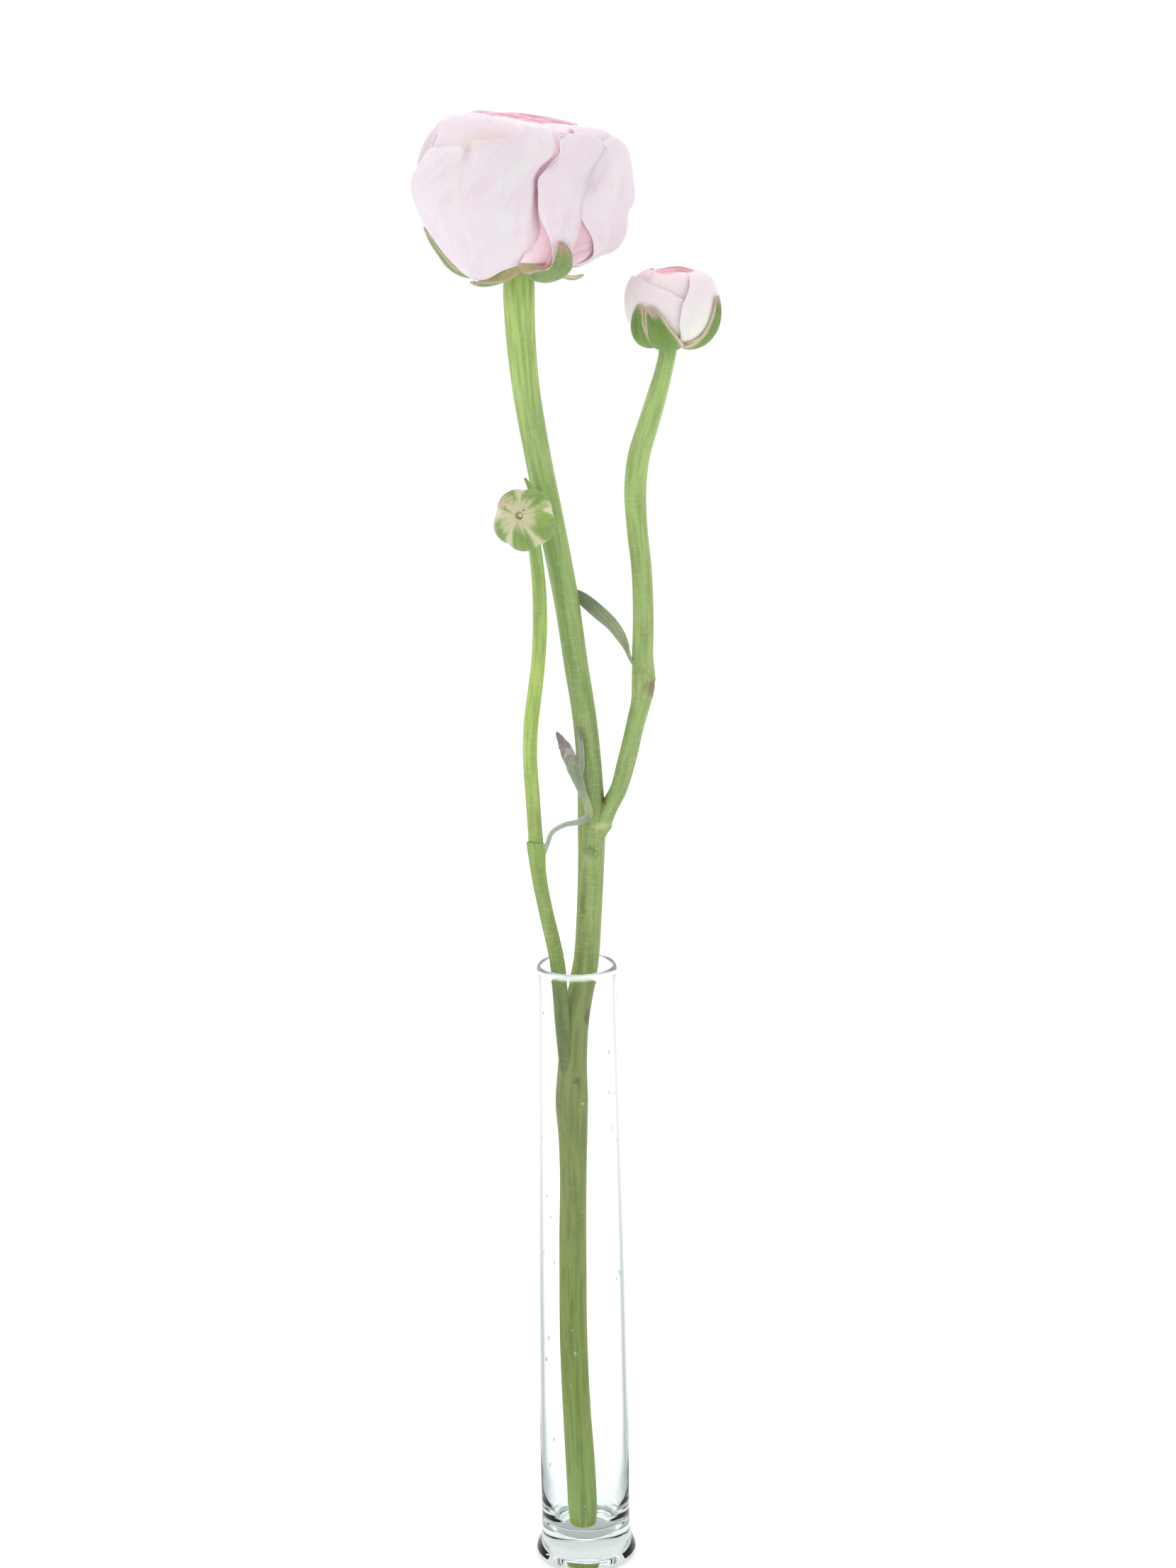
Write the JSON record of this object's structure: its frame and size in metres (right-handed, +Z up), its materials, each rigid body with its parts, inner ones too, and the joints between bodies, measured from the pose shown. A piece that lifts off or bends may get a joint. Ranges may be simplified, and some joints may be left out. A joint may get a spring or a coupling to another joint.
{
  "type": "ranunculus flower in a bud vase",
  "caption": "Cut ranunculus with a full bloom and buds on slender forked stems, standing upright in a slim clear glass bud vase.",
  "frame": {"origin": "centre of the vase's foot, on the surface it stands on", "axes": "+Z up along the vase's axis; -Y is the front, which the small bud faces; +X is the right, where the larger bud is"},
  "size_m": [0.087, 0.0616, 0.4394],
  "materials": {
    "vase_glass": "clear, polished glass with a faint blue-green tint where it is thick",
    "stem": "fresh green stem, satin, finely streaked and ringed",
    "bract": "grey-green, matt, withered brown at one edge",
    "leaf": "grey-green, matt, downy",
    "bloom_petal": "pale lilac pink, satin, finely veined",
    "sepal": "downy green with a brown rim",
    "bud_petal": "cream flushed with pink, satin",
    "closed_bud_petal": "cream green, matt",
    "closed_bud_sepal": "downy pale green with cream margins"
  },
  "bodies": {
    "root": {"vase": "vase_glass", "flower_stem": "stem", "folded_bract": "bract", "arching_leaf": "leaf", "small_bract": "leaf", "bloom_petals": "bloom_petal", "bloom_sepals": "sepal", "right_bud_petals": "bud_petal", "right_bud_sepals": "sepal", "small_bud_petals": "closed_bud_petal", "small_bud_sepals": "closed_bud_sepal"}
  },
  "joints": []
}
